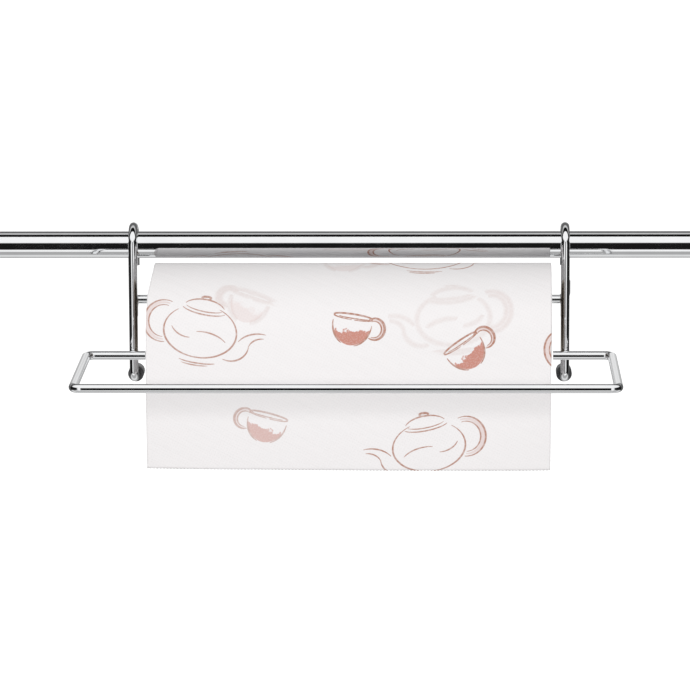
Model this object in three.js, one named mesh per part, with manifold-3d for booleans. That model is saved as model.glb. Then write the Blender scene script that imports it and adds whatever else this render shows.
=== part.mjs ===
// A paper towel holder that hangs on a round kitchen rail, with a part-used roll on its rod.
//
// Two bent steel wires hook over the rail, run down in front of it and turn back to the wall, where
// each ends in a soft cap. One long wire, bent like a tray's edge, is welded across both of them and
// reaches forward as a tear-off guard. The roll turns on a loose rod, which drops into two cradles
// behind the side wires. The rod's right end turns up behind the wire, so it can't slide or roll. The
// rod lifts out of its cradles to take a new roll.
//
// Millimetres. The origin is on the rail's axis, midway between the hooks. +X runs along the rail,
// +Y towards the wall and +Z up.
import * as THREE from "three";
import { mergeVertices } from "three/addons/utils/BufferGeometryUtils.js";
import Module from "manifold-3d";

// Rail and wall that the holder is made for
const railDia = 16;
const railPlay = 0.2; // between the rail and the inside of a hook, all round
const wallSetback = 27; // from a side wire's centre line back to the wall

// Side wires
const sideWireDia = 5.2;
const sideRoom = 9.2; // from the paper's end to a side wire's centre line
const hookTailDrop = 14; // from the rail's axis down to the tip behind the rail
const footDrop = 79; // from the rail's axis down to the foot's centre line
const footBend = 5; // centre-line radius

// Wall caps
const capDia = 9.4;
const capLength = 13;
const capFloor = 2.5; // thickness at the wall
const capEdge = 1.6; // rounding at the wall

// Tear-off guard
const guardWireDia = 5.3;
const guardOverhang = 30.3; // from a side wire's centre line out to the guard's outside
const guardReach = 102; // centre line of the rear runs to centre line of the front bar
const guardAboveFoot = 15; // centre line to centre line
const guardBend = 5; // centre-line radius
const guardEndPlay = 1.5; // from a rear run's end to the paper's end

// Rod and its cradles
const rodDia = 5.2;
const rodDrop = 32; // below the rail's axis
const rodOverhang = 1.8; // straight end, past the left side wire's centre line
const rodTangOffset = 0.6; // upturned end, past the right side wire's centre line
const rodTangRise = 12; // from the rod's centre line to the top of the upturned end
const rodBend = 4.3; // centre-line radius
const cradleWall = 1.5;
const cradleLip = 1.4; // above the rod's centre line
const cradleTab = 10; // below the rod's centre line
const cradleWidth = 5.2;

// Paper
const rollWidth = 238;
const rollDia = 72;
const coreBore = 44;
const coreWall = 1.2;
const sheetThickness = 0.8;
const sheetLap = 30; // degrees of the roll that the loose sheet still covers above its front line
const sheetHang = 83.5; // from the roll's axis down to the torn edge
const sheetCurl = 12; // how far the torn edge has curled back towards the wall

const gap = 0.3; // between two pieces that touch

// Facets
const wireSides = 16;
const bendSteps = 7;
const turnedSides = 40;
const sheetSteps = 14;

// Places that follow from the sizes
const hookRadius = railDia / 2 + railPlay + sideWireDia / 2;
const sideX = rollWidth / 2 + sideRoom;
const sideY = -hookRadius;
const wallY = sideY + wallSetback;
const guardY = sideY - sideWireDia / 2 - gap - guardWireDia / 2;
const guardZ = guardAboveFoot - footDrop;
const rodY = sideY + sideWireDia / 2 + gap + rodDia / 2;
const rodSeat = rodDia / 2 + gap;
const rollRadius = rollDia / 2;

// The roll hangs by the inside of its core, and the wall pushes it forward as far as it needs.
const rollHang = coreBore / 2 - rodDia / 2 - gap;
const rollLean = Math.min(rollHang, Math.max(0, rollRadius + gap - (wallY - rodY)));
const rollY = rodY - rollLean;
const rollZ = -rodDrop - Math.sqrt(rollHang ** 2 - rollLean ** 2);

const wasm = await Module();
wasm.setup();

function solidOf(geometry) {
  const bare = geometry.clone();
  bare.deleteAttribute("normal");
  bare.deleteAttribute("uv");
  const merged = mergeVertices(bare, 1e-4);
  const mesh = new wasm.Mesh({
    numProp: 3,
    vertProperties: merged.attributes.position.array,
    triVerts: new Uint32Array(merged.index.array),
  });
  return new wasm.Manifold(mesh);
}

function geometryOf(solid) {
  const mesh = solid.getMesh();
  const geometry = new THREE.BufferGeometry();
  geometry.setAttribute("position", new THREE.BufferAttribute(mesh.vertProperties, 3));
  geometry.setIndex(new THREE.BufferAttribute(mesh.triVerts, 1));
  geometry.computeVertexNormals();
  return geometry;
}

// A wire's centre line: straight runs, with a round bend of the given radius at each inner corner.
// Its stations are the ends of the runs and a few points round each bend.
class BentWire extends THREE.Curve {
  constructor(corners, radii) {
    super();
    this.stations = [];
    const runs = corners.slice(1).map((end, i) => end.clone().sub(corners[i]).normalize());
    this.addStation(corners[0], runs[0]);
    for (let i = 0; i < radii.length; i++) this.addBend(corners[i + 1], runs[i], runs[i + 1], radii[i]);
    this.addStation(corners.at(-1), runs.at(-1));
  }

  addStation(point, tangent) {
    const last = this.stations.at(-1);
    if (!last || last.point.distanceTo(point) > 1e-3) this.stations.push({ point, tangent });
  }

  addBend(corner, into, out, radius) {
    const turn = into.angleTo(out);
    const axis = into.clone().cross(out).normalize();
    const start = corner.clone().addScaledVector(into, -radius * Math.tan(turn / 2));
    const toCentre = axis.clone().cross(into);
    const centre = start.clone().addScaledVector(toCentre, radius);
    for (let step = 0; step <= bendSteps; step++) {
      const angle = (turn * step) / bendSteps;
      const spoke = toCentre.clone().multiplyScalar(-radius).applyAxisAngle(axis, angle);
      this.addStation(centre.clone().add(spoke), into.clone().applyAxisAngle(axis, angle));
    }
  }

  get steps() {
    return this.stations.length - 1;
  }

  getUtoTmapping(u) {
    return u;
  }

  getPoint(t, target = new THREE.Vector3()) {
    return target.copy(this.stations[Math.round(t * this.steps)].point);
  }

  getTangent(t, target = new THREE.Vector3()) {
    return target.copy(this.stations[Math.round(t * this.steps)].tangent);
  }
}

function roundSection(dia) {
  const corners = [];
  for (let i = 0; i < wireSides; i++) {
    const angle = ((i + 0.5) * 2 * Math.PI) / wireSides;
    corners.push(new THREE.Vector2(Math.cos(angle), Math.sin(angle)).multiplyScalar(dia / 2));
  }
  return new THREE.Shape(corners);
}

function wireGeometry(centreLine, dia) {
  return new THREE.ExtrudeGeometry(roundSection(dia), { steps: centreLine.steps, extrudePath: centreLine });
}

function named(name, geometry, material) {
  const mesh = new THREE.Mesh(geometry, material);
  mesh.name = name;
  return mesh;
}

// A profile drawn in Y and Z, made `width` thick along X and centred on x.
function acrossX(name, shape, width, x, material) {
  const geometry = new THREE.ExtrudeGeometry(shape, { depth: width, bevelEnabled: false, curveSegments: 8 });
  geometry.translate(0, 0, -width / 2);
  const mesh = named(name, geometry, material);
  mesh.rotation.set(Math.PI / 2, Math.PI / 2, 0);
  mesh.position.x = x;
  return mesh;
}

// A profile of [radius, along] points, turned about Y.
function turned(name, profile, material) {
  const geometry = new THREE.LatheGeometry(profile.map(([r, along]) => new THREE.Vector2(r, along)), turnedSides);
  return named(name, geometry, material);
}

const chrome = new THREE.MeshStandardMaterial({ color: 0xd8dadc, roughness: 0.08, metalness: 1 });
const softPlastic = new THREE.MeshStandardMaterial({ color: 0x3a3b3d, roughness: 0.35, metalness: 0 });
const paper = new THREE.MeshStandardMaterial({ color: 0xf3f1ee, roughness: 0.95, metalness: 0 });
const cardboard = new THREE.MeshStandardMaterial({ color: 0xb99b76, roughness: 0.9, metalness: 0 });

// Hook, leg and foot in one bent wire, with a round tip behind the rail.
function sideWire(name, x) {
  const tipRadius = sideWireDia / 2;
  const tip = new THREE.Vector3(0, hookRadius, -hookTailDrop + tipRadius);
  const corners = [
    tip,
    new THREE.Vector3(0, hookRadius, hookRadius),
    new THREE.Vector3(0, sideY, hookRadius),
    new THREE.Vector3(0, sideY, -footDrop),
    new THREE.Vector3(0, wallY - capFloor - gap, -footDrop),
  ];
  const centreLine = new BentWire(corners, [hookRadius, hookRadius, footBend]);
  const roundTip = new THREE.SphereGeometry(tipRadius, wireSides, wireSides / 2);
  roundTip.rotateX(Math.PI / 2).translate(tip.x, tip.y, tip.z);
  const wire = solidOf(wireGeometry(centreLine, sideWireDia)).add(solidOf(roundTip));
  const mesh = named(name, geometryOf(wire), chrome);
  mesh.position.x = x;
  return mesh;
}

// A soft cup over a foot's end. Its closed end rests on the wall.
function wallCap(name, x) {
  const bore = sideWireDia / 2 + gap;
  const outer = capDia / 2;
  const profile = [
    [0, 0],
    [outer - capEdge, 0],
    [outer - capEdge / 4, capEdge / 4],
    [outer, capEdge],
    [outer, capLength - capEdge / 2],
    [outer - capEdge / 2, capLength],
    [bore, capLength],
    [bore, capFloor],
    [0, capFloor],
  ];
  const mesh = turned(name, profile, softPlastic);
  mesh.rotation.x = Math.PI;
  mesh.position.set(x, wallY, -footDrop);
  return mesh;
}

// One wire with four bends. Its two rear runs cross the side wires in front and end just past them.
function guardWire() {
  const endX = rollWidth / 2 + guardEndPlay;
  const cornerX = sideX + guardOverhang - guardWireDia / 2;
  const corners = [
    new THREE.Vector3(-endX, guardY, guardZ),
    new THREE.Vector3(-cornerX, guardY, guardZ),
    new THREE.Vector3(-cornerX, guardY - guardReach, guardZ),
    new THREE.Vector3(cornerX, guardY - guardReach, guardZ),
    new THREE.Vector3(cornerX, guardY, guardZ),
    new THREE.Vector3(endX, guardY, guardZ),
  ];
  const centreLine = new BentWire(corners, Array(4).fill(guardBend));
  return named("guard_wire", wireGeometry(centreLine, guardWireDia), chrome);
}

// Straight at the left, turned up at the right. The left end can be drawn longer, to cut its seat.
function rodCentreLine(extra = 0) {
  const tangX = sideX + rodTangOffset;
  const corners = [
    new THREE.Vector3(-sideX - rodOverhang - extra, rodY, -rodDrop),
    new THREE.Vector3(tangX, rodY, -rodDrop),
    new THREE.Vector3(tangX, rodY, rodTangRise - rodDrop + extra),
  ];
  return new BentWire(corners, [rodBend]);
}

// A small cup behind a side wire, open at the top. The right one is also cut for the rod's bend.
function rodCradle(name, x) {
  const outer = rodSeat + cradleWall;
  const front = sideY + sideWireDia / 2 + gap - rodY;
  const back = front + cradleWall;
  const meetsTab = Math.atan2(-Math.sqrt(outer ** 2 - back ** 2), back);
  const shape = new THREE.Shape();
  shape.moveTo(front, cradleLip);
  shape.lineTo(front, -cradleTab);
  shape.lineTo(back, -cradleTab);
  shape.lineTo(back, outer * Math.sin(meetsTab));
  shape.absarc(0, 0, outer, meetsTab, 0, false);
  shape.lineTo(outer, cradleLip);
  const cup = new THREE.ExtrudeGeometry(shape, { depth: cradleWidth, bevelEnabled: false, curveSegments: 8 });
  cup.translate(0, 0, -cradleWidth / 2);
  cup.rotateY(Math.PI / 2).rotateX(Math.PI / 2);
  cup.translate(x, rodY, -rodDrop);
  const room = solidOf(wireGeometry(rodCentreLine(cradleWidth), 2 * rodSeat));
  const slot = new THREE.BoxGeometry(2 * cradleWidth, 2 * rodSeat, 2 * rodSeat);
  slot.translate(x, rodY, -rodDrop + rodSeat);
  return named(name, geometryOf(solidOf(cup).subtract(room).subtract(solidOf(slot))), chrome);
}

// A plain tube about the roll's axis.
function tube(name, inner, outer, material) {
  const end = rollWidth / 2;
  const profile = [
    [inner, -end],
    [outer, -end],
    [outer, end],
    [inner, end],
    [inner, -end],
  ];
  const mesh = turned(name, profile, material);
  mesh.rotation.z = -Math.PI / 2;
  mesh.position.set(0, rollY, rollZ);
  return mesh;
}

// The loose end of the web. It still lies on the roll's front, then hangs down behind the front bar
// and curls back a little.
function hangingSheet() {
  const inner = rollRadius + gap;
  const path = [];
  for (let step = 0; step <= sheetSteps / 2; step++) {
    const angle = Math.PI - (THREE.MathUtils.degToRad(sheetLap) * (sheetSteps / 2 - step)) / (sheetSteps / 2);
    const out = new THREE.Vector2(Math.cos(angle), Math.sin(angle));
    path.push({ point: out.clone().multiplyScalar(inner), out });
  }
  for (let step = 1; step <= sheetSteps; step++) {
    const share = step / sheetSteps;
    const slope = (2 * sheetCurl * share) / sheetHang;
    const out = new THREE.Vector2(-1, -slope).normalize();
    path.push({ point: new THREE.Vector2(-inner + sheetCurl * share ** 2, -sheetHang * share), out });
  }
  const face = path.map(({ point }) => point);
  const back = path.map(({ point, out }) => point.clone().addScaledVector(out, sheetThickness));
  const mesh = acrossX("hanging_sheet", new THREE.Shape([...face, ...back.reverse()]), rollWidth, 0, paper);
  mesh.position.y = rollY;
  mesh.position.z = rollZ;
  return mesh;
}

const holder = new THREE.Group();

const frame = new THREE.Group();
for (const [side, x] of [["left", -sideX], ["right", sideX]]) {
  frame.add(sideWire(`${side}_side_wire`, x), wallCap(`${side}_wall_cap`, x), rodCradle(`${side}_rod_cradle`, x));
}
frame.add(guardWire());

const roll = new THREE.Group();
const coreOuter = coreBore / 2 + coreWall;
roll.add(tube("cardboard_core", coreBore / 2, coreOuter, cardboard));
roll.add(tube("paper_roll", coreOuter + gap, rollRadius, paper));

holder.add(frame, named("roll_rod", wireGeometry(rodCentreLine(), rodDia), chrome), roll, hangingSheet());

export default holder;
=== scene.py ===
import math

import bmesh
import bpy
from mathutils import Matrix, Vector, noise


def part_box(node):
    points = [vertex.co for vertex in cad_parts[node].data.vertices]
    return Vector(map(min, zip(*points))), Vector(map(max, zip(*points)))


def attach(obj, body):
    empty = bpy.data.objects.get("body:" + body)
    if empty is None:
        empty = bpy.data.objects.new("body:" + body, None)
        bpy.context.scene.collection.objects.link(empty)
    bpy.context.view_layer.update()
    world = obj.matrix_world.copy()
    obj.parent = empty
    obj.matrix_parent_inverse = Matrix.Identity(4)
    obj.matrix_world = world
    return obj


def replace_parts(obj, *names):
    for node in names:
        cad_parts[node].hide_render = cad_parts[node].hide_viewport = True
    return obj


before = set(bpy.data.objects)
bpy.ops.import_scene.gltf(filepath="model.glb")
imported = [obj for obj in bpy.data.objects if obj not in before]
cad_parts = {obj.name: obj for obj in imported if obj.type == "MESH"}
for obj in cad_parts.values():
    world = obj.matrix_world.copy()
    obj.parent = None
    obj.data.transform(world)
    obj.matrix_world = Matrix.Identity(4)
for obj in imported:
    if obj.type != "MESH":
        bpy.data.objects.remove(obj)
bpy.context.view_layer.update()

# ---------------------------------------------------------------------------------------------
# The studio. A wide pale floor lies far below, and a soft box stands in front, a little above.
# Chrome mirrors a white tent, which has dark gaps in front, high up behind and at the sides.
# ---------------------------------------------------------------------------------------------
scene = bpy.context.scene
scene.view_settings.view_transform = "Standard"


def node(tree, kind, inputs=None, **settings):
    """A new node. Each input is linked to a socket, or set to a value."""
    made = tree.nodes.new(kind)
    for key, value in settings.items():
        setattr(made, key, value)
    for key, value in (inputs or {}).items():
        if isinstance(value, bpy.types.NodeSocket):
            tree.links.new(value, made.inputs[key])
        else:
            made.inputs[key].default_value = value
    return made


def maths(tree, operation, first, second=0.0, third=0.0):
    made = node(tree, "ShaderNodeMath", {0: first, 1: second, 2: third}, operation=operation)
    return made.outputs[0]


def ease(tree, value, start, end, low=0.0, high=1.0):
    """low up to start, high from end on, and a smooth change between them."""
    inputs = {"Value": value, "From Min": start, "From Max": end, "To Min": low, "To Max": high}
    return node(tree, "ShaderNodeMapRange", inputs, interpolation_type="SMOOTHSTEP").outputs[0]


tent = bpy.data.worlds.new("light_tent")
scene.world = tent
tent.use_nodes = True
tree = tent.node_tree
tree.nodes.clear()
facing = node(tree, "ShaderNodeTexCoord").outputs["Generated"]
facing = node(tree, "ShaderNodeSeparateXYZ", {0: facing}).outputs


def bands(tree, value, start, end, stops):
    """Grey values along a number, with straight changes between the (number, grey) stops."""
    share = maths(tree, "DIVIDE", maths(tree, "SUBTRACT", value, start), end - start)
    made = node(tree, "ShaderNodeValToRGB", {0: share})
    elements = made.color_ramp.elements
    for i, (number, grey) in enumerate(stops):
        spot = (number - start) / (end - start)
        element = elements[i] if i < 2 else elements.new(spot)
        element.position = spot
        element.color = (grey, grey, grey, 1)
    return made.outputs[0]


# Over and under the rack, in degrees up from straight ahead of it, by way of overhead to behind.
tall = maths(tree, "ARCTAN2", facing["Z"], maths(tree, "MULTIPLY", facing["Y"], -1))
tall = bands(tree, maths(tree, "DEGREES", tall), -180, 180, [
    (-180, 0.80), (180, 0.85), (-175, 0.45), (-124, 0.50), (-116, 0.80), (-94, 0.80),
    (-86, 0.45), (-57, 0.45), (-52, 1.05), (-39, 1.05), (-33, 0.010), (20, 0.010), (26, 1.05),
    (100, 1.05), (106, 0.62), (122, 0.62), (130, 0.14), (150, 0.14), (164, 0.26), (169, 0.85),
])
# Round the rack, from straight ahead at -1 to behind it at 1.
wide = bands(tree, facing["Y"], -1, 1, [
    (-1, 1.05), (1, 0.50), (-0.83, 1.05), (-0.72, 0.010), (0.36, 0.010), (0.46, 0.12),
    (0.90, 0.12), (0.96, 0.40),
])
aside = maths(tree, "ABSOLUTE", facing["X"])
level = maths(tree, "ABSOLUTE", maths(tree, "ADD", facing["Z"], 0.05))
beside = ease(tree, level, 0.40, 0.54, 1, 0)
beside = maths(tree, "MULTIPLY", ease(tree, aside, 0.12, 0.22), beside)
glow = node(tree, "ShaderNodeMix", {0: beside, 2: tall, 3: wide}).outputs[0]
fill = maths(tree, "MULTIPLY", ease(tree, facing["Z"], -0.5, 0.4, 0.835, 0.725),
             ease(tree, aside, 0.35, 0.9, 1, 0.64))
mirrored = node(tree, "ShaderNodeLightPath").outputs["Is Glossy Ray"]
strength = node(tree, "ShaderNodeMix", {0: mirrored, 2: fill, 3: glow}).outputs[0]
shine = node(tree, "ShaderNodeBackground", {"Color": (1, 1, 1, 1), "Strength": strength})
node(tree, "ShaderNodeOutputWorld", {"Surface": shine.outputs[0]})

floor_drop = 0.55
floor_reach = 14
floor_mesh = bpy.data.meshes.new("floor")
corners = [(x * floor_reach, y * floor_reach, -floor_drop)
           for x, y in ((-1, -1), (1, -1), (1, 1), (-1, 1))]
floor_mesh.from_pydata(corners, [], [(0, 1, 2, 3)])
floor = bpy.data.objects.new("floor", floor_mesh)
scene.collection.objects.link(floor)
floor.visible_glossy = False
floor.visible_diffuse = False
pale = bpy.data.materials.new("pale_floor")
pale.use_nodes = True
paint = pale.node_tree.nodes["Principled BSDF"]
paint.inputs["Base Color"].default_value = (0.86, 0.86, 0.86, 1)
paint.inputs["Roughness"].default_value = 0.9
paint.inputs["Specular IOR Level"].default_value = 0.0
paint.inputs["Emission Color"].default_value = (1, 1, 1, 1)
paint.inputs["Emission Strength"].default_value = 0.60
floor_mesh.materials.append(pale)

# A dark gap in the tent's roof, close above the rail, is seen only in the chrome.
gap_length = 1.4
gap_width = 0.056
gap_height = 0.12
roof_gap_mesh = bpy.data.meshes.new("roof_gap")
corners = [(x * gap_length / 2, y * gap_width / 2, gap_height)
           for x, y in ((-1, -1), (1, -1), (1, 1), (-1, 1))]
roof_gap_mesh.from_pydata(corners, [], [(0, 1, 2, 3)])
roof_gap = bpy.data.objects.new("roof_gap", roof_gap_mesh)
scene.collection.objects.link(roof_gap)
roof_gap.visible_camera = False
roof_gap.visible_diffuse = False
roof_gap.visible_shadow = False
dark = bpy.data.materials.new("roof_gap_black")
dark.use_nodes = True
cloth = dark.node_tree.nodes["Principled BSDF"]
cloth.inputs["Base Color"].default_value = (0.01, 0.01, 0.01, 1)
cloth.inputs["Roughness"].default_value = 1.0
cloth.inputs["Specular IOR Level"].default_value = 0.0
roof_gap_mesh.materials.append(dark)

soft_box = bpy.data.lights.new("soft_box", "AREA")
soft_box.shape = "DISK"
soft_box.size = 0.7
soft_box.energy = 25
soft_box_object = bpy.data.objects.new("soft_box", soft_box)
scene.collection.objects.link(soft_box_object)
soft_box_object.location = (-0.10, -2.3, 0.56)
soft_box_aim = Vector((0, 0, -0.06)) - soft_box_object.location
soft_box_object.rotation_euler = soft_box_aim.to_track_quat("-Z", "Y").to_euler()
soft_box_object.visible_glossy = False

# The camera stands a little right of the rack's middle and looks down at it, with the rail level.
camera_at = Vector((0.0516, -2.5108, 0.4079))
camera_aim = Vector((-0.0023, -0.0181, -0.0574))
forward = (camera_aim - camera_at).normalized()
rightward = (Vector((1, 0, 0)) - forward * forward.x).normalized()
upward = rightward.cross(forward)
camera = bpy.data.objects.new("camera", bpy.data.cameras.new("camera"))
scene.collection.objects.link(camera)
camera.matrix_world = Matrix.Translation(camera_at) @ Matrix(
    (rightward, upward, -forward)
).transposed().to_4x4()
camera.data.sensor_width = 36
camera.data.lens = 223.2
scene.camera = camera

# ---------------------------------------------------------------------------------------------
# The two side wires. Each is one length of 5.2 mm steel wire, bent on a bench into a hook, a leg
# and a foot, and chromed with the rest of the rack. The hook's tip is rounded off.
# ---------------------------------------------------------------------------------------------
wire_radius = 0.0026
hook_radius = 0.0108
hook_tail_drop = 0.014
foot_bend = 0.005
cut_edge = 0.0009

chrome = bpy.data.materials.new("polished_chrome")
chrome.use_nodes = True
tree = chrome.node_tree
bright = tree.nodes["Principled BSDF"]
bright.inputs["Metallic"].default_value = 1
place = node(tree, "ShaderNodeTexCoord").outputs["Object"]
haze = node(tree, "ShaderNodeTexNoise", {"Vector": place, "Scale": 70, "Detail": 3}).outputs[0]
tint = node(tree, "ShaderNodeValToRGB", {0: haze}).outputs[0]
ramp = tint.node.color_ramp
ramp.elements[0].color = (0.80, 0.81, 0.825, 1)
ramp.elements[1].color = (0.90, 0.905, 0.91, 1)
tree.links.new(tint, bright.inputs["Base Color"])
tree.links.new(ease(tree, haze, 0.35, 0.7, 0.035, 0.085), bright.inputs["Roughness"])
ripple = node(tree, "ShaderNodeTexNoise", {"Vector": place, "Scale": 420, "Detail": 2}).outputs[0]
ripple = node(tree, "ShaderNodeBump", {"Height": ripple, "Strength": 0.06, "Distance": 0.0001})
tree.links.new(ripple.outputs[0], bright.inputs["Normal"])


def sockets(tree, *wanted):
    """Adds the tree's inputs and its one output, and returns the inputs' sockets by name."""
    for label, kind in (("Geometry", "Geometry"), *wanted):
        tree.interface.new_socket(label, in_out="INPUT", socket_type="NodeSocket" + kind)
    tree.interface.new_socket("Geometry", in_out="OUTPUT", socket_type="NodeSocketGeometry")
    return tree.nodes.new("NodeGroupInput").outputs


wire_tree = bpy.data.node_groups.new("bent_wire", "GeometryNodeTree")
given = sockets(wire_tree, ("Wire Radius", "Float"), ("Sides", "Int"), ("Steps", "Int"),
                ("Finish", "Material"))
bend = node(wire_tree, "GeometryNodeInputNamedAttribute", {"Name": "bend"}, data_type="FLOAT")
taper = node(wire_tree, "GeometryNodeInputNamedAttribute", {"Name": "taper"}, data_type="FLOAT")
line = node(wire_tree, "GeometryNodeMeshToCurve", {0: given["Geometry"]}).outputs[0]
line = node(wire_tree, "GeometryNodeFilletCurve",
            {"Curve": line, "Count": given["Steps"], "Radius": bend.outputs[0]}, mode="POLY")
line = node(wire_tree, "GeometryNodeSetCurveRadius",
            {"Curve": line.outputs[0], "Radius": taper.outputs[0]}).outputs[0]
section = node(wire_tree, "GeometryNodeCurvePrimitiveCircle",
               {"Resolution": given["Sides"], "Radius": given["Wire Radius"]}).outputs[0]
skin = node(wire_tree, "GeometryNodeCurveToMesh",
            {"Curve": line, "Profile Curve": section, "Fill Caps": True}).outputs[0]
skin = node(wire_tree, "GeometryNodeMergeByDistance", {"Geometry": skin, "Distance": 2e-6})
skin = node(wire_tree, "GeometryNodeRealizeInstances", {0: skin.outputs[0]}).outputs[0]
skin = node(wire_tree, "GeometryNodeSetMaterial", {0: skin, "Material": given["Finish"]})
node(wire_tree, "NodeGroupOutput", {0: skin.outputs[0]})


def grown(name, mesh, tree, sizes):
    """The mesh that a geometry tree makes of another one, as a plain object at the origin."""
    source = bpy.data.objects.new(name, mesh)
    scene.collection.objects.link(source)
    modifier = source.modifiers.new("grow", "NODES")
    modifier.node_group = tree
    keys = {s.name: s.identifier for s in tree.interface.items_tree if s.in_out == "INPUT"}
    for label, value in sizes.items():
        modifier[keys[label]] = value
    made = bpy.data.meshes.new_from_object(
        source.evaluated_get(bpy.context.evaluated_depsgraph_get())
    )
    bpy.data.objects.remove(source)
    made.name = name
    piece = bpy.data.objects.new(name, made)
    scene.collection.objects.link(piece)
    return piece


def smooth(piece, angle=35):
    """Smooth shading, but for edges sharper than the angle in degrees."""
    for face in piece.data.polygons:
        face.use_smooth = True
    piece.data.set_sharp_from_angle(angle=math.radians(angle))


def bent_wire(name, radius, corners, round_start=False):
    """A wire through corners, each a place and a bend radius. Its cut ends are slightly
    broken, and a round start is a dome."""
    places = [Vector(place) for place, _ in corners]
    bends = [bend for _, bend in corners]

    def shape_end(end, inward, reach, shares):
        """Places along an end, each with the share of the full radius that the wire has there."""
        way = (places[inward] - places[end]).normalized()
        return [(places[end] + way * reach * share, math.sqrt(1 - (1 - share) ** 2))
                for share in shares]

    dome = [0.002, 0.02, 0.06, 0.13, 0.22, 0.33, 0.46, 0.62, 0.8]
    broken = [0.6, 0.75, 0.9]
    start_reach = radius if round_start else cut_edge
    head = shape_end(0, 1, start_reach, dome if round_start else broken)
    tail = shape_end(-1, -2, cut_edge, broken)[::-1]
    first = places[0] + (places[1] - places[0]).normalized() * start_reach
    last = places[-1] + (places[-2] - places[-1]).normalized() * cut_edge
    places = [p for p, _ in head] + [first] + places[1:-1] + [last] + [p for p, _ in tail]
    tapers = [t for _, t in head] + [1.0] * len(corners) + [t for _, t in tail]
    bends = [0.0] * (len(head) + 1) + bends[1:-1] + [0.0] * (len(tail) + 1)
    mesh = bpy.data.meshes.new(name)
    mesh.from_pydata(places, [(i, i + 1) for i in range(len(places) - 1)], [])
    mesh.attributes.new("bend", "FLOAT", "POINT").data.foreach_set("value", bends)
    mesh.attributes.new("taper", "FLOAT", "POINT").data.foreach_set("value", tapers)
    piece = grown(name, mesh, wire_tree, {
        "Wire Radius": radius, "Sides": 40, "Steps": 22, "Finish": chrome,
    })
    smooth(piece)
    return piece


for side in ("left", "right"):
    low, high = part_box(f"{side}_side_wire")
    side_x = (low.x + high.x) / 2
    leg_y = -hook_radius
    cap_low, cap_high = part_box(f"{side}_wall_cap")
    foot_z = (cap_low.z + cap_high.z) / 2
    tip_z = -hook_tail_drop
    piece = bent_wire(f"{side}_side_wire_bent", wire_radius, [
        ((side_x, hook_radius, tip_z), 0),
        ((side_x, hook_radius, hook_radius), hook_radius),
        ((side_x, leg_y, hook_radius), hook_radius),
        ((side_x, leg_y, foot_z), foot_bend),
        ((side_x, high.y, foot_z), 0),
    ], round_start=True)
    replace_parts(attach(piece, "frame"), f"{side}_side_wire")

# The 16 mm rail that the hooks hang on belongs to the studio, as the floor does.
rail_radius = 0.008
rail_half = 0.45
rail = bent_wire("rail", rail_radius, [((-rail_half, 0, 0), 0), ((rail_half, 0, 0), 0)])

# ---------------------------------------------------------------------------------------------
# The wall caps. Each is a dark, soft cup, dip-moulded and pushed onto a foot. Its rounded closed
# end rests on the wall, and a shallow groove sets off its rolled mouth.
# ---------------------------------------------------------------------------------------------
cap_wall_edge = 0.0016
cap_mouth_edge = 0.0008
cap_bore = wire_radius + 0.0001
cap_floor = 0.0025
cap_groove = 0.0002
cap_groove_edge = 0.0003

soft_plastic = bpy.data.materials.new("soft_dark_plastic")
soft_plastic.use_nodes = True
tree = soft_plastic.node_tree
skin = tree.nodes["Principled BSDF"]
skin.inputs["Coat Weight"].default_value = 0.25
skin.inputs["Coat Roughness"].default_value = 0.18
place = node(tree, "ShaderNodeTexCoord").outputs["Object"]
cloud = node(tree, "ShaderNodeTexNoise", {"Vector": place, "Scale": 160, "Detail": 4}).outputs[0]
tint = node(tree, "ShaderNodeValToRGB", {0: cloud}).outputs[0]
tint.node.color_ramp.elements[0].color = (0.028, 0.028, 0.030, 1)
tint.node.color_ramp.elements[1].color = (0.060, 0.060, 0.063, 1)
tree.links.new(tint, skin.inputs["Base Color"])
tree.links.new(ease(tree, cloud, 0.3, 0.7, 0.30, 0.46), skin.inputs["Roughness"])
grain = node(tree, "ShaderNodeTexNoise", {"Vector": place, "Scale": 2600, "Detail": 2}).outputs[0]
grain = node(tree, "ShaderNodeBump", {"Height": grain, "Strength": 0.15, "Distance": 0.00005})
tree.links.new(grain.outputs[0], skin.inputs["Normal"])


def softened(corners, steps=8):
    """A line of (a, b, rounding) corners as plain (a, b) points, with the corners rounded."""
    points = []
    for i, (a, b, rounding) in enumerate(corners):
        here = Vector((a, b))
        if not rounding:
            points.append(here)
            continue
        back = (Vector(corners[i - 1][:2]) - here).normalized() * rounding
        on = (Vector(corners[(i + 1) % len(corners)][:2]) - here).normalized() * rounding
        for step in range(steps + 1):
            t = step / steps
            points.append(here + back * (1 - t) ** 2 + on * t ** 2)
    return points


def turned(name, profile, origin, axis, spoke, sides=72, closed=False):
    """A line of (radius, along) points turned about an axis. It is closed, or ends on the axis."""
    origin, axis, spoke = Vector(origin), Vector(axis), Vector(spoke)
    cross = axis.cross(spoke)
    body = bmesh.new()
    rings = []
    for radius, along in profile:
        ring = []
        for i in range(sides if radius > 1e-7 else 1):
            angle = 2 * math.pi * i / sides
            out = spoke * math.cos(angle) + cross * math.sin(angle)
            ring.append(body.verts.new(origin + axis * along + out * radius))
        rings.append(ring)
    pairs = list(zip(rings, rings[1:]))
    if closed:
        pairs.append((rings[-1], rings[0]))
    for first, second in pairs:
        for i in range(sides):
            j = (i + 1) % sides
            face = [first[i % len(first)], first[j % len(first)],
                    second[j % len(second)], second[i % len(second)]]
            body.faces.new(list(dict.fromkeys(face)))
    bmesh.ops.recalc_face_normals(body, faces=body.faces)
    mesh = bpy.data.meshes.new(name)
    body.to_mesh(mesh)
    body.free()
    piece = bpy.data.objects.new(name, mesh)
    scene.collection.objects.link(piece)
    return piece


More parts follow.
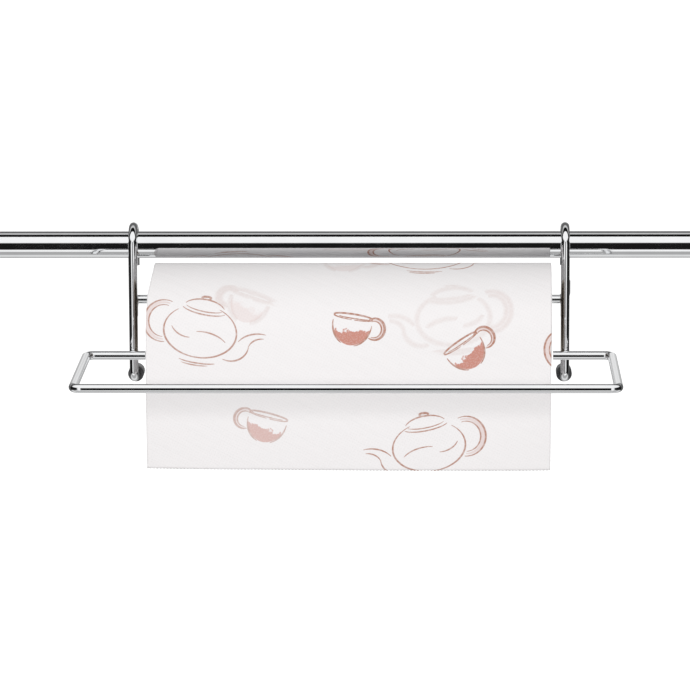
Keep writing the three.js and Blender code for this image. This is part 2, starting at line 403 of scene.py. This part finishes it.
for side in ("left", "right"):
    low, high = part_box(f"{side}_wall_cap")
    cap_radius = (high.z - low.z) / 2
    cap_length = high.y - low.y
    profile = softened([
        (0, 0, 0),
        (cap_radius, 0, cap_wall_edge),
        (cap_radius, cap_length * 0.84, 0.0012),
        (cap_radius - cap_groove, cap_length * 0.88, cap_groove_edge),
        (cap_radius, cap_length * 0.92, cap_groove_edge),
        (cap_radius, cap_length, cap_mouth_edge),
        (cap_bore, cap_length, 0.0004),
        (cap_bore, cap_floor, 0.0003),
        (0, cap_floor, 0),
    ])
    centre = ((low.x + high.x) / 2, high.y, (low.z + high.z) / 2)
    piece = turned(f"{side}_wall_cap_moulded", profile, centre, (0, -1, 0), (1, 0, 0))
    piece.data.materials.append(soft_plastic)
    smooth(piece, 50)
    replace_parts(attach(piece, "frame"), f"{side}_wall_cap")

# ---------------------------------------------------------------------------------------------
# The tear-off guard. One 5.3 mm wire with four close bends runs out from in front of one side
# wire, round past the roll and back to the other. Its cut ends stop just short of the paper.
# ---------------------------------------------------------------------------------------------
guard_radius = 0.00265
guard_bend = 0.005
guard_end_play = 0.0015
# The frame's wires have flat sides, so a box reaches a little less than a radius past the middle.
flat_sided = 0.98
low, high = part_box("guard_wire")
guard_z = (low.z + high.z) / 2
guard_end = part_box("paper_roll")[1].x + guard_end_play
guard_x = high.x - guard_radius * flat_sided
guard_rear = high.y - guard_radius * flat_sided
guard_front = low.y + guard_radius * flat_sided
piece = bent_wire("guard_wire_bent", guard_radius, [
    ((-guard_end, guard_rear, guard_z), 0),
    ((-guard_x, guard_rear, guard_z), guard_bend),
    ((-guard_x, guard_front, guard_z), guard_bend),
    ((guard_x, guard_front, guard_z), guard_bend),
    ((guard_x, guard_rear, guard_z), guard_bend),
    ((guard_end, guard_rear, guard_z), 0),
])
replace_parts(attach(piece, "frame"), "guard_wire")

# ---------------------------------------------------------------------------------------------
# The rod cradles. Each is a J of 1.5 mm steel strip, pressed to shape and welded by its tab to
# the back of a side wire. The rod lies in it, and it is open at the top.
# ---------------------------------------------------------------------------------------------
cradle_wall = 0.0015
rod_radius = 0.0026
rod_seat = 0.0029
cradle_round = 0.00035
cradle_steps = 16
rod_low, rod_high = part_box("roll_rod")
rod_z = rod_low.z + rod_radius * flat_sided
rod_y = (rod_low.y + rod_high.y) / 2
for side in ("left", "right"):
    low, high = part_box(f"{side}_rod_cradle")
    front = low.y - rod_y
    back = front + cradle_wall
    outer = rod_seat + cradle_wall
    lip = high.z - rod_z
    outline = [(front, low.z - rod_z), (back, low.z - rod_z)]
    start = math.atan2(-math.sqrt(outer ** 2 - back ** 2), back)
    for step in range(cradle_steps + 1):
        angle = start * (1 - step / cradle_steps)
        outline.append((outer * math.cos(angle), outer * math.sin(angle)))
    outline += [(outer, lip), (rod_seat, lip)]
    end = math.atan2(-math.sqrt(rod_seat ** 2 - front ** 2), front)
    for step in range(cradle_steps + 1):
        angle = end * step / cradle_steps
        outline.append((rod_seat * math.cos(angle), rod_seat * math.sin(angle)))
    strip = bmesh.new()
    faces = [
        strip.faces.new([strip.verts.new((x, rod_y + y, rod_z + z)) for y, z in outline])
        for x in (low.x, high.x)
    ]
    count = len(outline)
    for i in range(count):
        j = (i + 1) % count
        a, b = faces[0].verts, faces[1].verts
        strip.faces.new([a[i], a[j], b[j], b[i]])
    bmesh.ops.recalc_face_normals(strip, faces=strip.faces)
    mesh = bpy.data.meshes.new(f"{side}_rod_cradle_pressed")
    strip.to_mesh(mesh)
    strip.free()
    mesh.materials.append(chrome)
    piece = bpy.data.objects.new(f"{side}_rod_cradle_pressed", mesh)
    scene.collection.objects.link(piece)
    smooth(piece, 40)
    edges = piece.modifiers.new("rounded", "BEVEL")
    edges.width = cradle_round
    edges.segments = 3
    edges.angle_limit = math.radians(40)
    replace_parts(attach(piece, "frame"), f"{side}_rod_cradle")

# ---------------------------------------------------------------------------------------------
# The welds. Crossed wires are pressed together and fused, which leaves a small squeezed-out
# bead round the contact, chromed over. There is one at each guard crossing and cradle tab.
# ---------------------------------------------------------------------------------------------
bead_size = 0.001
bead_lift = 0.00015
tab_middle = 0.0032
beads = bmesh.new()
for side in ("left", "right"):
    low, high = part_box(f"{side}_side_wire")
    side_x = (low.x + high.x) / 2
    contact_front = -hook_radius - wire_radius
    contact_back = -hook_radius + wire_radius
    tab_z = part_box(f"{side}_rod_cradle")[0].z + tab_middle
    spots = [
        (Vector((side_x, contact_front - bead_lift, guard_z)), Vector((1.75, 1.0, 1.75))),
        (Vector((side_x, contact_back + bead_lift, tab_z)), Vector((1.5, 0.85, 1.9))),
    ]
    for spot, size in spots:
        made = bmesh.ops.create_uvsphere(beads, u_segments=28, v_segments=18, radius=bead_size)
        for vert in made["verts"]:
            lumpy = 1 + 0.16 * noise.noise(vert.co * 1300 + spot * 900)
            vert.co = Vector(a * b for a, b in zip(vert.co, size)) * lumpy + spot
mesh = bpy.data.meshes.new("weld_beads")
beads.to_mesh(mesh)
beads.free()
mesh.materials.append(chrome)
piece = bpy.data.objects.new("weld_beads", mesh)
scene.collection.objects.link(piece)
smooth(piece, 80)
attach(piece, "frame")

# ---------------------------------------------------------------------------------------------
# The roll rod. A loose 5.2 mm wire that lies in the cradles and carries the roll. Its left end
# is cut straight, and its right end turns up behind the side wire.
# ---------------------------------------------------------------------------------------------
rod_bend = 0.0043
piece = bent_wire("roll_rod_bent", rod_radius, [
    ((rod_low.x, rod_y, rod_z), 0),
    ((rod_high.x - rod_radius * flat_sided, rod_y, rod_z), rod_bend),
    ((rod_high.x - rod_radius * flat_sided, rod_y, rod_high.z), 0),
])
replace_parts(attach(piece, "rod"), "roll_rod")

# ---------------------------------------------------------------------------------------------
# The cardboard core. Pale grey-brown board is wound on a mandrel in two slanting plies and cut to
# length, so its seam climbs round it and its cut ends are a little fluffy.
# ---------------------------------------------------------------------------------------------
core_wall = 0.0012
core_ply_pitch = 0.062
core_set_in = 0.002
core_edge = 0.0003

board = bpy.data.materials.new("spiral_wound_board")
board.use_nodes = True
tree = board.node_tree
card = tree.nodes["Principled BSDF"]
card.inputs["Roughness"].default_value = 0.92
card.inputs["Specular IOR Level"].default_value = 0.25
low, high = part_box("cardboard_core")
roll_centre = (low + high) / 2
place = node(tree, "ShaderNodeTexCoord").outputs["Object"]
place = node(tree, "ShaderNodeVectorMath", {0: place, 1: roll_centre}, operation="SUBTRACT")
along, across, up = node(tree, "ShaderNodeSeparateXYZ", {0: place.outputs[0]}).outputs
turn = maths(tree, "DIVIDE", maths(tree, "ARCTAN2", up, across), 2 * math.pi)
climb = maths(tree, "ADD", maths(tree, "DIVIDE", along, core_ply_pitch), turn)
climb = maths(tree, "FRACT", climb)
seam = ease(tree, maths(tree, "ABSOLUTE", maths(tree, "SUBTRACT", climb, 0.5)), 0.0, 0.018, 1, 0)
fibre = node(tree, "ShaderNodeTexNoise", {"Vector": place.outputs[0], "Scale": 900, "Detail": 5})
fleck = node(tree, "ShaderNodeTexNoise", {"Vector": place.outputs[0], "Scale": 140, "Detail": 6})
shade = node(tree, "ShaderNodeMix", {0: 0.5, 2: fibre.outputs[0], 3: fleck.outputs[0]}).outputs[0]
tint = node(tree, "ShaderNodeValToRGB", {0: shade}).outputs[0]
tint.node.color_ramp.elements[0].position = 0.32
tint.node.color_ramp.elements[0].color = (0.44, 0.385, 0.325, 1)
tint.node.color_ramp.elements[1].position = 0.68
tint.node.color_ramp.elements[1].color = (0.66, 0.600, 0.525, 1)
dimmed = node(tree, "ShaderNodeMix",
              {0: maths(tree, "MULTIPLY", seam, 0.6), 6: tint, 7: (0.25, 0.20, 0.15, 1)},
              data_type="RGBA").outputs[2]
tree.links.new(dimmed, card.inputs["Base Color"])
height = maths(tree, "SUBTRACT", shade, seam)
rough = node(tree, "ShaderNodeBump", {"Height": height, "Strength": 0.35, "Distance": 0.0002})
tree.links.new(rough.outputs[0], card.inputs["Normal"])

core_radius = (high.z - low.z) / 2
half = (high.x - low.x) / 2 - core_set_in
profile = softened([
    (core_radius - core_wall, -half, core_edge),
    (core_radius, -half, core_edge),
    (core_radius, half, core_edge),
    (core_radius - core_wall, half, core_edge),
], steps=4)
piece = turned("cardboard_core_wound", profile, roll_centre, (1, 0, 0), (0, -1, 0),
               sides=128, closed=True)
piece.data.materials.append(board)
smooth(piece, 50)
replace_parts(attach(piece, "roll"), "cardboard_core")

# ---------------------------------------------------------------------------------------------
# The wound paper. One long embossed web lies round the core in some 27 loose turns. The roll's
# ends show their edges, which are a little out of line and drift to the right outwards.
# ---------------------------------------------------------------------------------------------
web_thickness = 0.00032
roll_turns = 27.5
turn_points = 88
edge_scatter = 0.0009
edge_drift = 0.0024
low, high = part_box("paper_roll")
roll_radius = (high.z - low.z) / 2
roll_width = high.x - low.x
loose_room = 0.0004
wound_outer = roll_radius - loose_room
core_play = 0.0001
emboss_pitch = 1.7

paper_colour = (0.838, 0.816, 0.818, 1)


def embossed(tree, paper, plane):
    """Slanting rows of pressed dots, soft creases along them, and fibres, in the bump. plane is in
    mm. Returns a colour factor: random fibre tone, with painted shade in the pressed dots and
    crease hollows.
    """
    tilted = node(tree, "ShaderNodeVectorRotate", {"Vector": plane, "Angle": math.radians(28)})
    tilted = tilted.outputs[0]
    dots = node(tree, "ShaderNodeTexVoronoi", {
        "Vector": tilted, "Scale": 1 / emboss_pitch, "Randomness": 0.25,
    }, voronoi_dimensions="2D").outputs["Distance"]
    dots = ease(tree, dots, 0.16, 0.42)
    along = node(tree, "ShaderNodeMapping", {"Vector": tilted, "Scale": (0.035, 0.30, 0.30)})
    creases = node(tree, "ShaderNodeTexNoise", {
        "Vector": along.outputs[0], "Scale": 1.0, "Detail": 4,
    })
    fibres = node(tree, "ShaderNodeTexNoise", {"Vector": plane, "Scale": 3.4, "Detail": 5})
    height = maths(tree, "MULTIPLY_ADD", fibres.outputs[0], 0.35, dots)
    height = maths(tree, "MULTIPLY_ADD", creases.outputs[0], 7.0, height)
    bump = node(tree, "ShaderNodeBump", {"Height": height, "Strength": 0.35, "Distance": 0.0001})
    tree.links.new(bump.outputs[0], paper.inputs["Normal"])
    paper.inputs["Roughness"].default_value = 0.93
    paper.inputs["Specular IOR Level"].default_value = 0.2
    paper.inputs["Sheen Weight"].default_value = 0.12
    paper.inputs["Sheen Roughness"].default_value = 0.6
    # The colour factor: random fibre tone, plus painted shade that darkens the pressed dots and
    # the crease hollows, following the bump's height.
    shade = maths(tree, "MULTIPLY_ADD", dots, 0.3, fibres.outputs[0])
    shade = maths(tree, "MULTIPLY_ADD", creases.outputs[0], 0.5, shade)
    return ease(tree, shade, 0.45, 1.2, 0.955, 1.0)


web = bpy.data.materials.new("wound_tissue")
web.use_nodes = True
tree = web.node_tree
paper = tree.nodes["Principled BSDF"]
place = node(tree, "ShaderNodeTexCoord").outputs["Object"]
plane = node(tree, "ShaderNodeVectorMath", {0: place, "Scale": 1000}, operation="SCALE").outputs[0]
tone_with_painted_shade = embossed(tree, paper, plane)
# The paper's colour carries the fibre tone and the painted shade of the emboss.
tint = node(tree, "ShaderNodeVectorMath", {0: paper_colour[:3], "Scale": tone_with_painted_shade}, operation="SCALE")
tree.links.new(tint.outputs[0], paper.inputs["Base Color"])

winding = bpy.data.node_groups.new("wound_web", "GeometryNodeTree")
given = sockets(winding, ("Inner Radius", "Float"), ("Outer Radius", "Float"), ("Turns", "Float"),
                ("Width", "Float"), ("Thickness", "Float"), ("Scatter", "Float"),
                ("Drift", "Float"), ("Centre", "Vector"), ("Finish", "Material"))
spiral = node(winding, "GeometryNodeCurveSpiral", {
    "Resolution": turn_points, "Rotations": given["Turns"], "Start Radius": given["Inner Radius"],
    "End Radius": given["Outer Radius"], "Height": 0.0, "Reverse": False,
}).outputs[0]
order = node(winding, "GeometryNodeInputIndex").outputs[0]
order = maths(winding, "DIVIDE", order, turn_points)
stray = node(winding, "ShaderNodeTexNoise", {"W": order, "Scale": 1.3, "Detail": 2},
             noise_dimensions="1D").outputs[0]
stray = maths(winding, "MULTIPLY", maths(winding, "SUBTRACT", stray, 0.5), given["Scatter"])
wound_share = maths(winding, "DIVIDE", order, given["Turns"])
stray = maths(winding, "MULTIPLY_ADD", wound_share, given["Drift"], stray)
stray = node(winding, "ShaderNodeCombineXYZ", {"Z": stray}).outputs[0]
spiral = node(winding, "GeometryNodeSetPosition", {"Geometry": spiral, "Offset": stray}).outputs[0]
spiral = node(winding, "GeometryNodeSetCurveNormal", {"Curve": spiral}, mode="Z_UP").outputs[0]
strip = node(winding, "GeometryNodeCurvePrimitiveQuadrilateral",
             {"Width": given["Thickness"], "Height": given["Width"]}).outputs[0]
skin = node(winding, "GeometryNodeCurveToMesh",
            {"Curve": spiral, "Profile Curve": strip, "Fill Caps": True}).outputs[0]
skin = node(winding, "GeometryNodeTransform",
            {"Geometry": skin, "Rotation": (0, math.pi / 2, 0)}).outputs[0]
skin = node(winding, "GeometryNodeTransform",
            {"Geometry": skin, "Translation": given["Centre"]}).outputs[0]
skin = node(winding, "GeometryNodeRealizeInstances", {0: skin}).outputs[0]
skin = node(winding, "GeometryNodeSetMaterial", {0: skin, "Material": given["Finish"]})
node(winding, "NodeGroupOutput", {0: skin.outputs[0]})
wound = grown("wound_roll", bpy.data.meshes.new("seed"), winding, {
    "Inner Radius": core_radius + web_thickness / 2 + core_play,
    "Outer Radius": wound_outer - web_thickness / 2,
    "Turns": roll_turns, "Width": roll_width - 2 * (edge_scatter + edge_drift / 2),
    "Thickness": web_thickness, "Scatter": edge_scatter, "Drift": edge_drift,
    "Centre": roll_centre, "Finish": web,
})
smooth(wound, 40)
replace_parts(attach(wound, "roll"), "paper_roll")

# ---------------------------------------------------------------------------------------------
# The loose sheet. It is the last turn of the web, which comes over the top, leaves the roll at
# its front and hangs behind the front bar, curling back towards its torn, toothed edge.
# ---------------------------------------------------------------------------------------------
sheet_thickness = 0.00028
tooth_depth = 0.00045
web_rows = 170
web_columns = 238
hang_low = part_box("hanging_sheet")[0]
lap_radius = wound_outer + sheet_thickness
hang_length = roll_centre.z - hang_low.z
curl = 0.012
ripple_depth = 0.00004
ruffle = 0.0016
side_curl = 0.0022
torn_slant = 0.0005
lean_all = 0.0010
lean_top = 0.0010
lean_far = 0.0022
lean_far_from = 0.6
right_lean = 0.0005
lap_length = 2 * math.pi * lap_radius
web_length = lap_length + hang_length

sheet = bmesh.new()
uv_layer = sheet.loops.layers.uv.new("web")
grid = []
for row in range(web_rows + 1):
    reach = web_length * row / web_rows
    up_web = web_length - reach
    line = []
    for column in range(web_columns + 1):
        across = column / web_columns * 2 - 1
        x = across * roll_width / 2
        tooth = tooth_depth * (column % 2) if row == web_rows else 0.0
        waver = noise.noise(Vector((x * 26, reach * 12, 3.1)))
        if reach < lap_length:
            angle = 2 * math.pi * reach / lap_length
            radius = lap_radius - sheet_thickness * (1 - reach / lap_length)
            radius += ripple_depth * waver
            y = roll_centre.y - radius * math.cos(angle)
            z = roll_centre.z - radius * math.sin(angle)
            top = max(0.0, math.sin(angle - math.pi))
            far = max(0.0, top - lean_far_from) / (1 - lean_far_from)
            lean = lean_all + lean_top * top + lean_far * far
            skew = right_lean * top ** 2 + (1 - across) / 2 * lean
        else:
            share = (reach - lap_length) / hang_length
            free = share ** 1.6
            y = roll_centre.y - lap_radius + curl * share ** 2
            y += ruffle * free * waver + side_curl * free * abs(across) ** 7
            z = roll_centre.z - (reach - lap_length) + tooth - torn_slant * across * share
            skew = (1 - across) / 2 * lean_all * (1 - share)
        line.append((sheet.verts.new((x + skew, y, z)), (x, up_web + tooth)))
    grid.append(line)
for first, second in zip(grid, grid[1:]):
    for i in range(web_columns):
        corner = [first[i], second[i], second[i + 1], first[i + 1]]
        face = sheet.faces.new([vert for vert, _ in corner])
        face.smooth = True
        for loop, (_, spot) in zip(face.loops, corner):
            loop[uv_layer].uv = spot
mesh = bpy.data.meshes.new("loose_sheet")
sheet.to_mesh(mesh)
sheet.free()
loose = bpy.data.objects.new("loose_sheet", mesh)
scene.collection.objects.link(loose)
ply = loose.modifiers.new("ply", "SOLIDIFY")
ply.thickness = sheet_thickness
ply.offset = 0

# The print: pots and cups in thin red-brown brush lines, each line an arc of an ellipse in mm.
# Line entries are centre, radii, turn, middle angle, half span (degrees) and half width.
brush = bpy.data.node_groups.new("brush_arc", "ShaderNodeTree")
for label, kind in (("Place", "Vector"), ("Centre", "Vector"), ("Radii", "Vector"),
                    ("Turn", "Float"), ("Middle", "Float"), ("Half Span", "Float"),
                    ("Width", "Float"), ("Spread", "Float")):
    brush.interface.new_socket(label, in_out="INPUT", socket_type="NodeSocket" + kind)
brush.interface.new_socket("Ink", in_out="OUTPUT", socket_type="NodeSocketFloat")
given = brush.nodes.new("NodeGroupInput").outputs


def vector_maths(tree, operation, first, second=(0, 0, 0)):
    made = node(tree, "ShaderNodeVectorMath", {0: first, 1: second}, operation=operation)
    return made.outputs["Value" if operation == "LENGTH" else "Vector"]


spot = vector_maths(brush, "SUBTRACT", given["Place"], given["Centre"])
spot = node(brush, "ShaderNodeVectorRotate",
            {"Vector": spot, "Angle": maths(brush, "MULTIPLY", given["Turn"], -1)}).outputs[0]
unit = vector_maths(brush, "DIVIDE", spot, given["Radii"])
reach = vector_maths(brush, "LENGTH", unit)
slope = vector_maths(brush, "LENGTH", vector_maths(brush, "DIVIDE", unit, given["Radii"]))
away = maths(brush, "ABSOLUTE", maths(brush, "SUBTRACT", reach, 1))
away = maths(brush, "DIVIDE", maths(brush, "MULTIPLY", away, reach), slope)
flat = node(brush, "ShaderNodeSeparateXYZ", {0: unit}).outputs
angle = maths(brush, "SUBTRACT", maths(brush, "ARCTAN2", flat["Y"], flat["X"]), given["Middle"])
angle = maths(brush, "WRAP", angle, math.pi, -math.pi)
share = maths(brush, "DIVIDE", maths(brush, "ABSOLUTE", angle), given["Half Span"])
swell = maths(brush, "MULTIPLY_ADD", maths(brush, "MULTIPLY", share, share), -0.7, 1.0)
half_width = maths(brush, "MULTIPLY", given["Width"], swell)
ink = ease(brush, away, maths(brush, "MULTIPLY", half_width, 0.6),
           maths(brush, "MULTIPLY_ADD", half_width, 1.15, given["Spread"]), 1, 0)
ink = maths(brush, "MULTIPLY", ink, ease(brush, share, 0.97, 1.0, 1, 0))
node(brush, "NodeGroupOutput", {"Ink": ink})

brush_width = 1.3
wash_strength = 0.30
pot_lines = [
    (0, 0, 21.5, 15.6, 0, 205, 72, 0.42), (0, 0, 21.5, 15.6, 0, -28, 94, 0.42),
    (0, 12.6, 12.6, 6.6, -2, 90, 68, 0.38), (0, 13.6, 13.4, 3.6, -3, -90, 72, 0.34),
    (0, 15.2, 12.2, 3.4, -3, -90, 62, 0.28), (0, 20.0, 2.5, 1.0, 4, 90, 179, 0.62),
    (-22.5, 3.0, 11.6, 12.4, 12, 166, 106, 0.46), (-22.5, 3.0, 8.6, 9.4, 12, 166, 100, 0.36),
    (36.5, -8, 15, 12, 0, 118, 36, 0.38), (19, -5, 10.5, 9.8, 0, -52, 58, 0.42),
    (38, -6, 8.6, 7.3, 0, 130, 38, 0.36), (1, -16.6, 12, 2.4, 0, -92, 62, 0.34),
    (0, -18.4, 10, 2.0, 0, -94, 52, 0.28), (-9, 2, 9, 6, -18, -100, 46, 0.34),
    (4, -8, 14, 8, -6, 78, 42, 0.34),
]
pot_wash = [(-22.5, 3.0, 10.1, 10.9, 12, 166, 102, 0.9)]
cup_lines = [
    (0, 8.5, 11.2, 1.7, 0, 90, 179, 0.46), (0, 5.2, 11.5, 13.9, 0, 212, 34, 0.42),
    (0, 5.2, 11.5, 13.9, 0, -38, 38, 0.42), (13.4, 3.4, 6.0, 6.4, 0, 8, 128, 0.62),
    (13.1, 3.2, 4.4, 4.8, 0, 8, 112, 0.34), (0.4, 8.6, 9.4, 0.9, 0, -90, 70, 0.30),
]
cup_wash = [(13.2, 3.3, 5.2, 5.6, 0, 8, 122, 0.7)]


def drawn(name, lines, washes, filled):
    """A motif as a node group: from a place in mm to its line ink and its wash. A filled one
    also has ink in its body, below a ragged level."""
    group = bpy.data.node_groups.new(name, "ShaderNodeTree")
    group.interface.new_socket("Place", in_out="INPUT", socket_type="NodeSocketVector")
    group.interface.new_socket("Spread", in_out="INPUT", socket_type="NodeSocketFloat")
    for label in ("Lines", "Wash"):
        group.interface.new_socket(label, in_out="OUTPUT", socket_type="NodeSocketFloat")
    place, spread, _ = group.nodes.new("NodeGroupInput").outputs
    inks = []
    for table in (lines, washes):
        total = 0.0
        for x, y, across, tall, turn, middle, span, width in table:
            arc = node(group, "ShaderNodeGroup", node_tree=brush)
            group.links.new(place, arc.inputs["Place"])
            group.links.new(spread, arc.inputs["Spread"])
            arc.inputs["Centre"].default_value = (x, y, 0)
            arc.inputs["Radii"].default_value = (across, tall, 1)
            arc.inputs["Turn"].default_value = math.radians(turn)
            arc.inputs["Middle"].default_value = math.radians(middle)
            arc.inputs["Half Span"].default_value = math.radians(span)
            arc.inputs["Width"].default_value = width * brush_width
            total = maths(group, "MAXIMUM", arc.outputs[0], total)
        inks.append(total)
    inks[1] = maths(group, "MULTIPLY", inks[1], wash_strength)
    if filled:
        spot = vector_maths(group, "SUBTRACT", place, (0, 5.2, 0))
        spot = vector_maths(group, "DIVIDE", spot, (11.3, 13.7, 1))
        inside = ease(group, vector_maths(group, "LENGTH", spot), 0.96, 1.0, 1, 0)
        level = node(group, "ShaderNodeSeparateXYZ", {0: place}).outputs
        ragged = node(group, "ShaderNodeTexNoise", {"Vector": place, "Scale": 0.26, "Detail": 2})
        edge = maths(group, "MULTIPLY_ADD", ragged.outputs[0], 9.0, -4.0)
        edge = maths(group, "MULTIPLY_ADD", level["X"], 0.16, edge)
        below = ease(group, maths(group, "SUBTRACT", level["Y"], edge),
                     maths(group, "MULTIPLY_ADD", spread, -1.0, -0.4),
                     maths(group, "ADD", spread, 0.4), 1, 0)
        bristle = node(group, "ShaderNodeTexNoise", {"Vector": place, "Scale": 1.1, "Detail": 4})
        fill = maths(group, "MULTIPLY", maths(group, "MULTIPLY", inside, below),
                     ease(group, bristle.outputs[0], 0.25, 0.6, 0.78, 1.0))
        inks[1] = maths(group, "MAXIMUM", inks[1], fill)
    node(group, "NodeGroupOutput", {"Lines": inks[0], "Wash": inks[1]})
    return group


pot = drawn("pot_motif", pot_lines, pot_wash, False)
cup = drawn("cup_motif", cup_lines, cup_wash, True)

print_repeat = 213.0
print_start = -22.0
fill_ink = (0.51, 0.150, 0.088, 1)
line_ink = (0.39, 0.150, 0.083, 1)
faint = 0.3
crisp_spread = 0.1
faint_spread = 1.9


def printed_tissue(name, motifs):
    """The sheet's paper with some motifs. Each is a drawing, its place across and up the web in
    mm, its turn in degrees, whether it is mirrored, and its strength."""
    material = bpy.data.materials.new(name)
    material.use_nodes = True
    tree = material.node_tree
    paper = tree.nodes["Principled BSDF"]
    place = node(tree, "ShaderNodeUVMap", uv_map="web").outputs[0]
    plane = node(tree, "ShaderNodeVectorMath", {0: place, "Scale": 1000}, operation="SCALE")
    plane = plane.outputs[0]
    tone_with_painted_shade = embossed(tree, paper, plane)
    x_mm, y_mm, _ = node(tree, "ShaderNodeSeparateXYZ", {0: plane}).outputs
    y_mm = maths(tree, "WRAP", y_mm, print_repeat + print_start, print_start)
    repeated = node(tree, "ShaderNodeCombineXYZ", {"X": x_mm, "Y": y_mm}).outputs[0]
    lines, washes = 0.0, 0.0
    for drawing, across, up_web, turn, flipped, strength in motifs:
        spot = node(tree, "ShaderNodeMapping", {
            "Vector": repeated, "Location": (across, up_web, 0),
            "Rotation": (0, 0, math.radians(turn)), "Scale": (-1 if flipped else 1, 1, 1),
        }, vector_type="TEXTURE").outputs[0]
        motif = node(tree, "ShaderNodeGroup", node_tree=drawing)
        tree.links.new(spot, motif.inputs["Place"])
        motif.inputs["Spread"].default_value = crisp_spread if strength > faint else faint_spread
        line = maths(tree, "MULTIPLY", motif.outputs["Lines"], strength)
        wash = maths(tree, "MULTIPLY", motif.outputs["Wash"], strength)
        lines = maths(tree, "MAXIMUM", line, lines)
        washes = maths(tree, "MAXIMUM", wash, washes)
    patchy = node(tree, "ShaderNodeTexNoise", {"Vector": plane, "Scale": 0.45, "Detail": 3})
    patchy = ease(tree, patchy.outputs[0], 0.3, 0.65, 0.62, 0.92)
    inked = node(tree, "ShaderNodeMix", {
        0: maths(tree, "MULTIPLY", washes, 0.85), 6: paper_colour, 7: fill_ink,
    }, data_type="RGBA").outputs[2]
    inked = node(tree, "ShaderNodeMix", {
        0: maths(tree, "MULTIPLY", lines, patchy), 6: inked, 7: line_ink,
    }, data_type="RGBA").outputs[2]
    # The paper and ink colour carry the fibre tone and the painted shade of the emboss.
    tint = node(tree, "ShaderNodeVectorMath", {0: inked, "Scale": tone_with_painted_shade}, operation="SCALE")
    tree.links.new(tint.outputs[0], paper.inputs["Base Color"])
    return material


# The repeat is printed in four fields, which no motif crosses. The faint ones show through.
mesh.materials.append(printed_tissue("print_low", [
    (pot, 47.5, 15.5, 9, True, 0.95), (cup, -49, 26, -15, True, 0.62),
]))
mesh.materials.append(printed_tissue("print_middle_left", [
    (pot, -87, 85.5, -9, False, 0.9), (cup, 1.5, 85.5, -9, False, 1.0),
    (cup, -60, 99, -20, True, 0.17),
]))
mesh.materials.append(printed_tissue("print_middle_right", [
    (cup, 70.5, 71.5, 35, False, 1.0), (pot, 149, 71.5, 0, False, 1.0),
    (pot, 61.5, 93, 4, True, 0.15),
]))
mesh.materials.append(printed_tissue("print_high", [
    (pot, 43, 145, -2, False, 1.0), (pot, -70, 168, -8, True, 0.9), (cup, -5, 135, 0, False, 0.15),
]))
low_field_top = 50
middle_field_top = 116
middle_split = 22.5
for face in mesh.polygons:
    across, up_web = (1000 * a for a in mesh.uv_layers["web"].uv[face.loop_start].vector)
    up_web = (up_web - print_start) % print_repeat + print_start
    if up_web < low_field_top:
        face.material_index = 0
    elif up_web < middle_field_top:
        face.material_index = 2 if across > middle_split else 1
    else:
        face.material_index = 3
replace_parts(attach(loose, "rod"), "hanging_sheet")
